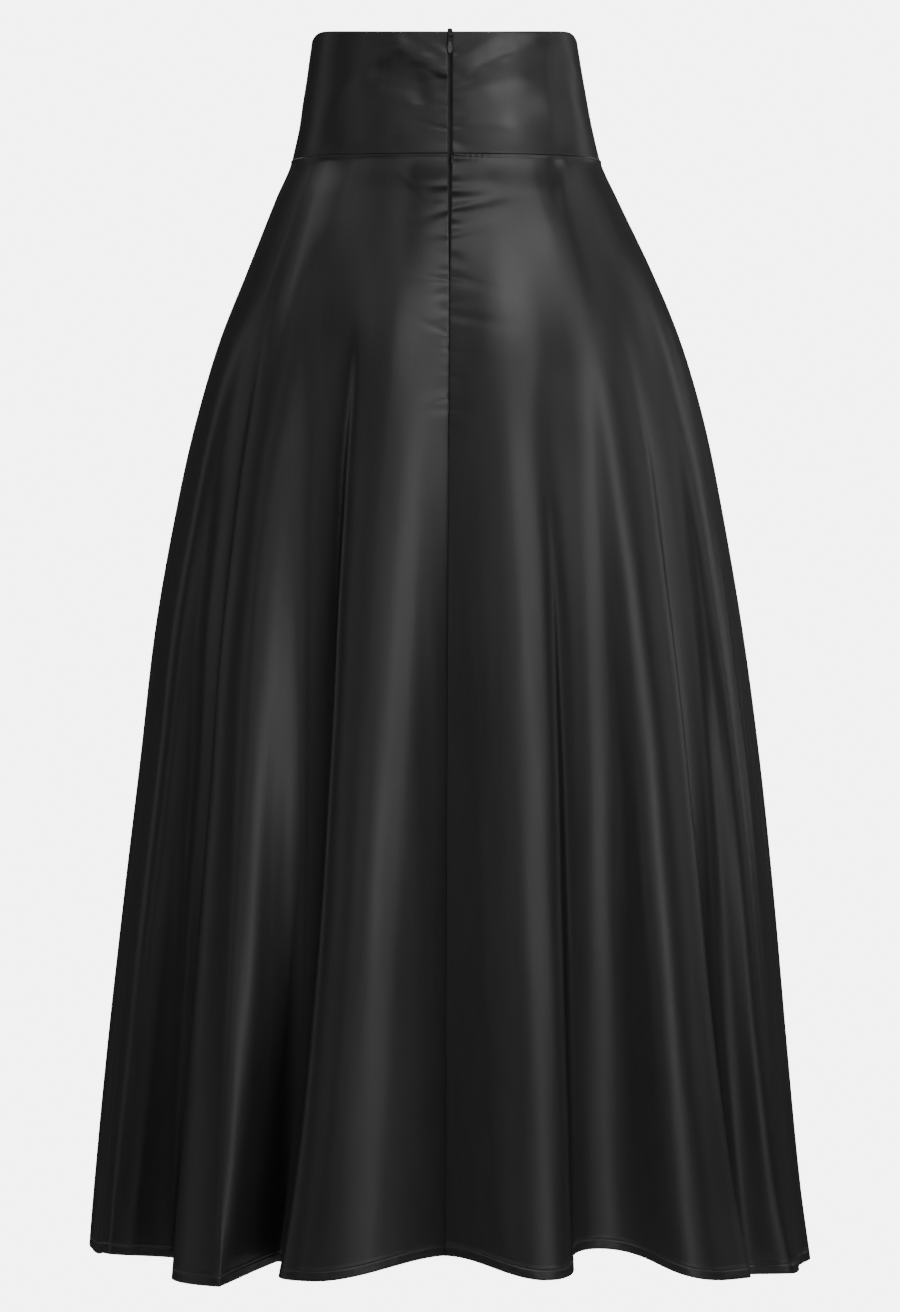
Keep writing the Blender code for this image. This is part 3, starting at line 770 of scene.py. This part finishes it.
band_left = band_panel("waistband_back_left_cloth", -90, 0, 90, 74, "left", plain_gap, zip_gap)
band_right = band_panel("waistband_back_right_cloth", 0, 90, 90, 74, "right", zip_gap, plain_gap)
band_front = band_panel("waistband_front_cloth", 90, 270, 150, 40, "front", plain_gap, plain_gap)
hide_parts("waistband_back_left")
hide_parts("waistband_back_right")
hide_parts("waistband_front")

# %% [markdown]
# ## The zip
#
# A zip is two woven tapes, each with a row of teeth along one edge, and a slider that joins them. Here the
# tapes follow the back panels a little way inside them, so they are found on the same form. The teeth are
# copies of one small rounded bead, placed left and right in turn down the seam, as a coil zip's loops are.

# %% The tapes
ZIP_END_Z = -326.0 * MM
TAPE_WIDTH = 12.0 * MM
TAPE_DEPTH = 1.9 * MM
SLIDER_END_Z = 45.5 * MM


def beside_seam(levels, side, distances, depth):
    """A grid of points at distances along the cloth from the centre back, and a depth behind its face."""
    rows = []
    for z in levels:
        if z > WAIST_SEAM_Z:
            near = on_envelope(side * np.linspace(0, 24, 400) ** 1.3, np.full(400, z))
        else:
            near = on_skirt(CENTRE_BACK_SEAM + side * np.linspace(0, 0.9, 400), np.full(400, z))
        run = np.concatenate([[0], np.cumsum(np.linalg.norm(np.diff(near, axis=0), axis=1))])
        row = np.stack([np.interp(distances, run, near[:, k]) for k in range(3)], -1)
        ahead = np.stack([np.interp(distances + 1 * MM, run, near[:, k]) for k in range(3)], -1)
        along = unit(ahead - row) * side
        inwards = np.stack([-along[:, 1], along[:, 0], np.zeros(len(row))], -1)
        rows.append(row + inwards * depth)
    return np.array(rows)


def zip_tape(side_name, side):
    levels = np.linspace(BAND_TOP_Z - 1.2 * MM, ZIP_END_Z, 110)
    points = []
    for z in levels:
        inner = ZIP_GAP_IN_BAND / 2 if z > SLIDER_END_Z else 0.2 * MM
        distances = inner + (TAPE_WIDTH - inner) * np.linspace(0, 1, 9)
        points.append(beside_seam([z], side, distances, TAPE_DEPTH)[0])
    points = np.array(points) if side > 0 else np.array(points)[:, ::-1]
    points, _ = roll_side(points, outward(points), "right" if side > 0 else "left", (60, 120, 180), 0.3 * MM)
    piece = cloth_piece(f"zip_tape_{side_name}_woven", points, TAPE, TAPE, wall=0.5 * MM)
    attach(piece, "garment")
    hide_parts(f"zip_tape_{side_name}")


TAPE = make_woven("black_zip_tape", (0.010, 0.010, 0.011), 0.6)
zip_tape("left", -1)
zip_tape("right", 1)

# %% The teeth
TOOTH_PITCH = 1.25 * MM
TOOTH_DEPTH = TAPE_DEPTH + 0.35 * MM
TOOTH_SIZE = np.array([1.15, 0.55, 0.42]) * MM


def bead(rings=5, sides=10):
    """A small round bead of unit size, as points and quads."""
    points, faces = [], []
    for ring in range(rings):
        lift = math.radians(-80 + 160 * ring / (rings - 1))
        for k in range(sides):
            turn = math.tau * k / sides
            points.append((math.sin(lift), math.cos(lift) * math.cos(turn), math.cos(lift) * math.sin(turn)))
    for ring in range(rings - 1):
        for k in range(sides):
            a, b = ring * sides + k, ring * sides + (k + 1) % sides
            faces.append((a, a + sides, b + sides, b))
    faces.append(tuple(range(sides)))
    faces.append(tuple(range(rings * sides - 1, (rings - 1) * sides - 1, -1)))
    return np.array(points), faces


def mesh_piece(name, points, faces, material):
    mesh = bpy.data.meshes.new(name)
    mesh.from_pydata([tuple(p) for p in points], [], faces)
    mesh.materials.append(material)
    mesh.shade_smooth()
    piece = in_scene(name, mesh)
    return piece


def copies(shape, faces, places):
    """Many copies of one shape as one mesh, each moved by its own 3 x 3 matrix and offset."""
    points = np.concatenate([shape @ turn.T + offset for turn, offset in places])
    all_faces = [tuple(v + n * len(shape) for v in face) for n in range(len(places)) for face in faces]
    return points, all_faces


tooth_levels = np.arange(SLIDER_END_Z - 1 * MM, ZIP_END_Z + 12 * MM, -TOOTH_PITCH)
tooth_places = []
for k, z in enumerate(tooth_levels):
    side = 1 if k % 2 else -1
    at = beside_seam([z], side, np.array([0.55 * MM]), TOOTH_DEPTH)[0, 0]
    tooth_places.append((np.diag(TOOTH_SIZE), at))
bead_points, bead_faces = bead()
teeth = mesh_piece("zip_teeth", *copies(bead_points, bead_faces, tooth_places), TEETH)
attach(teeth, "garment")
print(len(tooth_places), "teeth, one every", TOOTH_PITCH / MM, "mm")

# %% [markdown]
# ## The slider and its pull
#
# The slider is shut, with its top just above the band. Its plate stands proud of the cloth and carries a
# small bridge, and the pull's eye passes round it, so the pull can swing up. The pull is a teardrop with a
# raised rim. Each flat part is an outline in millimetres, given a thickness with rounded edges, as if cast.

# %% Outlines made into plates
top_back, lower_back = SECTIONS[0].back * MM, SECTIONS[1].back * MM
SLIDER_LEAN = math.atan2(lower_back - top_back, BAND_TOP_Z)
SLIDER_FRAME = Matrix.Translation((0, -top_back, BAND_TOP_Z)) @ Matrix.Rotation(-SLIDER_LEAN, 4, "X")
FACING_BACK = Matrix.Rotation(math.radians(90), 4, "X")


def arc(centre_x, centre_y, radius, first, last, steps, squash=1.0):
    turns = np.radians(np.linspace(first, last, steps))
    return [(centre_x + radius * math.cos(t), centre_y + radius * squash * math.sin(t)) for t in turns]


def plate(name, outlines, thickness, rounding, material):
    """A plate from outlines in millimetres, the later ones being holes, with rounded edges."""
    curve = bpy.data.curves.new(name, "CURVE")
    curve.dimensions = "2D"
    curve.fill_mode = "BOTH"
    curve.extrude = (thickness / 2 - rounding) * MM
    curve.bevel_depth = rounding * MM
    curve.bevel_resolution = 3
    curve.offset = -rounding * MM
    for outline in outlines:
        spline = curve.splines.new("POLY")
        spline.points.add(len(outline) - 1)
        for point, (x, y) in zip(spline.points, outline):
            point.co = (x * MM, y * MM, 0, 1)
        spline.use_cyclic_u = True
    drawn = in_scene(name, curve)
    evaluated = drawn.evaluated_get(bpy.context.evaluated_depsgraph_get())
    mesh = bpy.data.meshes.new_from_object(evaluated)
    bpy.data.objects.remove(drawn)
    mesh.materials.clear()
    mesh.materials.append(material)
    piece = in_scene(name, mesh)
    return piece


def placed(piece, matrix, body):
    piece.data.transform(matrix)
    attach(piece, body)
    return piece


# %% The slider
SliderPart = namedtuple("SliderPart", "name outline thickness rounding depth")
face_outline = (
    arc(0, 1.0, 2.3, 0, 180, 15, 0.7)
    + [(-2.25, -2.0), (-1.7, -6.6)]
    + arc(0, -6.6, 1.7, 180, 360, 9, 0.55)
    + [(2.25, -2.0)]
)
back_outline = [(-2.8, -0.9), (2.8, -0.9), (2.5, -7.0), (-2.5, -7.0)]
neck_outline = [(-1.2, 2.0), (1.2, 2.0), (1.3, -7.2), (-1.3, -7.2)]
# Depth is that of the part's middle, inwards from the band's face
SLIDER_PARTS = [
    SliderPart("zip_slider_face", face_outline, 1.0, 0.28, -0.4),
    SliderPart("zip_slider_back", back_outline, 1.8, 0.4, 4.2),
    SliderPart("zip_slider_neck", neck_outline, 4.4, 0.3, 2.0),
]
for part in SLIDER_PARTS:
    piece = plate(part.name, [part.outline], part.thickness, part.rounding, ENAMEL)
    inwards = Matrix.Translation((0, part.depth * MM, 0))
    placed(piece, SLIDER_FRAME @ inwards @ FACING_BACK, "garment")
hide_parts("zip_slider")

BRIDGE_Y, BRIDGE_Z, BRIDGE_RADIUS, BRIDGE_WIRE = -2.3, -3.6, 1.27, 0.33
WIRE_SIDES, WIRE_BREADTH = 12, 1.9
bridge_path = (
    [(1.9, BRIDGE_RADIUS), (0.2, BRIDGE_RADIUS)]
    + arc(0, 0, BRIDGE_RADIUS, 90, 270, 17)
    + [(0.2, -BRIDGE_RADIUS), (1.9, -BRIDGE_RADIUS)]
)
bridge_points, bridge_faces = [], []
for k, (y, z) in enumerate(bridge_path):
    before, after = bridge_path[max(k - 1, 0)], bridge_path[min(k + 1, len(bridge_path) - 1)]
    forward = Vector((0, after[0] - before[0], after[1] - before[1])).normalized()
    across = Vector((1, 0, 0))
    up = forward.cross(across)
    for n in range(WIRE_SIDES):
        turn = math.tau * n / WIRE_SIDES
        offset = across * math.cos(turn) * BRIDGE_WIRE * WIRE_BREADTH + up * math.sin(turn) * BRIDGE_WIRE
        bridge_points.append(SLIDER_FRAME @ (Vector((0, BRIDGE_Y + y, BRIDGE_Z + z)) * MM + offset * MM))
for k in range(len(bridge_path) - 1):
    for n in range(WIRE_SIDES):
        a, b = k * WIRE_SIDES + n, k * WIRE_SIDES + (n + 1) % WIRE_SIDES
        bridge_faces.append((a, b, b + WIRE_SIDES, a + WIRE_SIDES))
bridge_faces.append(tuple(range(WIRE_SIDES - 1, -1, -1)))
bridge_faces.append(tuple(range(len(bridge_points) - WIRE_SIDES, len(bridge_points))))
bridge = mesh_piece("zip_slider_bridge", bridge_points, bridge_faces, POLISHED)
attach(bridge, "garment")

# %% The pull
hinge = SLIDER_FRAME @ (Vector((0, BRIDGE_Y, BRIDGE_Z)) * MM)
PULL_FRAME = Matrix.Translation(hinge) @ FACING_BACK
TIP_Y, TIP_LENGTH, SHOULDER, BELLY = -12.5, 4.5, 1.9, 2.45


def teardrop(inset, top):
    """The pull's outline, drawn in by an inset in millimetres, from a top edge down to its round tip."""
    shoulder, belly = SHOULDER - inset, BELLY - inset
    lower = [(shoulder, -3.6), (shoulder + 0.1, -7.0), (belly - 0.08, -10.0)]
    side = [(shoulder, top)] + [point for point in lower if point[1] < top]
    tip = arc(0, TIP_Y, belly, 0, -180, 19, (TIP_LENGTH - inset) / belly)
    return side + tip + [(-x, y) for x, y in side[::-1]]


eye = [(-1.15, -0.35), (1.15, -0.35), (1.15, -2.8), (0.75, -3.2), (-0.75, -3.2), (-1.15, -2.8)]
pull_rim = plate("zip_pull_rim", [teardrop(0, 0.35), eye, teardrop(0.75, -6.0)], 0.72, 0.16, ENAMEL)
pull_centre = plate("zip_pull_centre", [teardrop(0.6, -5.85)], 0.36, 0.05, POLISHED)
placed(pull_rim, PULL_FRAME, "pull")
placed(pull_centre, PULL_FRAME, "pull")
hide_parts("zip_pull")
print("pull:", [round(c / MM, 1) for c in pull_rim.dimensions], "mm, hinge", [round(c, 4) for c in hinge])

# %% [markdown]
# ## Stitches along the hem
#
# The hem is folded up once and stitched all round, eight millimetres above its edge. Each stitch is a short
# rounded thread lying on the cloth.

# %% The hem stitches
STITCH_LENGTH = 2.1 * MM
STITCH_STEP = 2.9 * MM
STITCH_SIZE = np.array([STITCH_LENGTH / 2, 0.17 * MM, 0.09 * MM])
STITCH_MARGIN = 3 * MM


def stitches(name, points):
    """Threads along the row of a panel's grid that lies one hem turn above its edge."""
    row, below = points[-1 - HEM_ROWS], points[-HEM_ROWS]
    run = np.concatenate([[0], np.cumsum(np.linalg.norm(np.diff(row, axis=0), axis=1))])
    places = []
    for at in np.arange(STITCH_MARGIN, run[-1] - STITCH_MARGIN, STITCH_STEP):
        here = np.array([np.interp(at, run, row[:, k]) for k in range(3)])
        ahead = np.array([np.interp(at + 1 * MM, run, row[:, k]) for k in range(3)])
        lower = np.array([np.interp(at, run, below[:, k]) for k in range(3)])
        along = unit(ahead - here)
        out = unit(np.cross(unit(lower - here), along))
        down = np.cross(along, out)
        places.append((np.stack([along, down, out], 1) * STITCH_SIZE, here + out * 0.05 * MM))
    piece = mesh_piece(name, *copies(*bead(4, 6), places), THREAD)
    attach(piece, "garment")
    print(f"{name}: {len(places)} stitches along {run[-1]:.3f} m of hem")


stitches("hem_stitches_left", back_left_points)
stitches("hem_stitches_right", back_right_points)
stitches("hem_stitches_front", front_points)

# %% [markdown]
# ## Floor, light and camera
#
# A plain pale studio. The camera is far off at half the skirt's height, with a long lens, so the sides hardly
# converge. Black satin shows its lights more than its colour: each tall light draws one soft highlight down
# every fold that faces halfway to it. So the lights stand in a ring, the strongest right of the camera. Three
# soft spots brighten the waistband alone, and three lights stand on the far side for the front.

# %% Camera
camera_data = bpy.data.cameras.new("camera")
camera_data.lens = 198.17
camera_data.sensor_width = 36
camera_data.clip_end = 60
camera = in_scene("camera", camera_data)
camera.location = (0, -6.5, -0.50)
camera.rotation_euler = (math.radians(90), 0, 0)
bpy.context.scene.camera = camera

# %% A round pale floor, clear below the hem
FLOOR_Z = -1.26
FLOOR_RADIUS = 1.55
floor_mesh = bpy.data.meshes.new("studio_floor")
FLOOR_SIDES = 96
turns = [k * math.tau / FLOOR_SIDES for k in range(FLOOR_SIDES)]
rim = [(FLOOR_RADIUS * math.cos(turn), FLOOR_RADIUS * math.sin(turn), FLOOR_Z) for turn in turns]
floor_mesh.from_pydata(rim, [], [tuple(range(FLOOR_SIDES))])
studio_floor = in_scene("studio_floor", floor_mesh)
pale, _, _, shader = new_material("pale_floor")
shader.inputs["Base Color"].default_value = (0.85, 0.85, 0.85, 1)
shader.inputs["Roughness"].default_value = 0.9
shader.inputs["Specular IOR Level"].default_value = 0.1
floor_mesh.materials.append(pale)

# %% Studio light
Light = namedtuple("Light", "name azimuth elevation width height power")
# Azimuth in degrees from the camera's side towards +X, elevation above the skirt's middle, sizes in metres
LIGHTS = [
    Light("key", 30, 12, 1.0, 2.2, 31),
    Light("front_right", 10, 12, 1.0, 2.2, 7.5),
    Light("front_left", -15, 12, 1.0, 2.2, 8.5),
    Light("left", -50, 12, 1.0, 2.2, 7.5),
    Light("left_rim", -105, 12, 1.0, 2.2, 6.8),
    Light("right_rim", 85, 12, 1.0, 2.2, 11.5),
    Light("right_back", 118, 12, 1.0, 2.2, 12),
    Light("high_key", 28, 42, 1.6, 1.4, 31),
    Light("high_front", 0, 42, 1.6, 1.4, 16),
    Light("high_right", 52, 42, 1.6, 1.4, 15),
    Light("high_right_rim", 100, 42, 1.6, 1.4, 9.5),
    Light("high_left", -50, 42, 1.6, 1.4, 6.5),
    Light("high_left_rim", -90, 42, 1.6, 1.4, 16),
    Light("low_key", 28, -12, 1.0, 1.0, 7.5),
    Light("low_left", -90, -10, 1.2, 1.2, 3.5),
    Light("far_side", 180, 16, 1.4, 2.2, 26),
    Light("far_side_left", 200, 34, 1.2, 1.6, 22),
    Light("far_side_right", 160, 34, 1.2, 1.6, 22),
]
LIT_POINT = Vector((0, 0, -0.35))
LIGHT_DISTANCE = 4.5


def stand_lamp(kind, row, aim, distance):
    """A lamp from a row of a table, standing off from the point that it is aimed at."""
    data = bpy.data.lights.new(row.name, kind)
    data.energy = row.power
    lamp = in_scene(row.name, data)
    turn, rise = math.radians(row.azimuth), math.radians(row.elevation)
    away = Vector((math.sin(turn) * math.cos(rise), -math.cos(turn) * math.cos(rise), math.sin(rise)))
    lamp.location = aim + away * distance
    lamp.rotation_euler = away.to_track_quat("Z", "Y").to_euler()
    return data


for light in LIGHTS:
    data = stand_lamp("AREA", light, LIT_POINT, LIGHT_DISTANCE)
    data.shape = "RECTANGLE"
    data.size, data.size_y = light.width, light.height

# %% Three soft spots on the waistband
Spot = namedtuple("Spot", "name azimuth elevation x z power")
SPOTS = [
    Spot("band_right", 54, 5, 0.05, -0.01, 210),
    Spot("band_centre", 27, 7, 0.03, -0.01, 120),
    Spot("band_left", -66, 8, -0.06, 0.0, 14),
]
SPOT_DISTANCE = 3.0
SPOT_AIM_Y = -0.12
SPOT_ANGLE = 6
for spot in SPOTS:
    data = stand_lamp("SPOT", spot, Vector((spot.x, SPOT_AIM_Y, spot.z)), SPOT_DISTANCE)
    data.spot_size = math.radians(SPOT_ANGLE)
    data.spot_blend = 0.8
    data.shadow_soft_size = 0.32

# %% A white backdrop that hardly lights the cloth
world = bpy.data.worlds.new("soft_room")
world.use_nodes = True
nodes, links = world.node_tree.nodes, world.node_tree.links
room = nodes["Background"]
room.inputs["Color"].default_value = (0.98, 0.95, 1.0, 1)
room.inputs["Strength"].default_value = 0.05
backdrop = nodes.new("ShaderNodeBackground")
backdrop.inputs["Color"].default_value = (1, 1, 1, 1)
backdrop.inputs["Strength"].default_value = 6.0
seen = nodes.new("ShaderNodeLightPath")
either = nodes.new("ShaderNodeMixShader")
links.new(seen.outputs["Is Camera Ray"], either.inputs["Fac"])
links.new(room.outputs["Background"], either.inputs[1])
links.new(backdrop.outputs["Background"], either.inputs[2])
links.new(either.outputs["Shader"], nodes["World Output"].inputs["Surface"])
bpy.context.scene.world = world
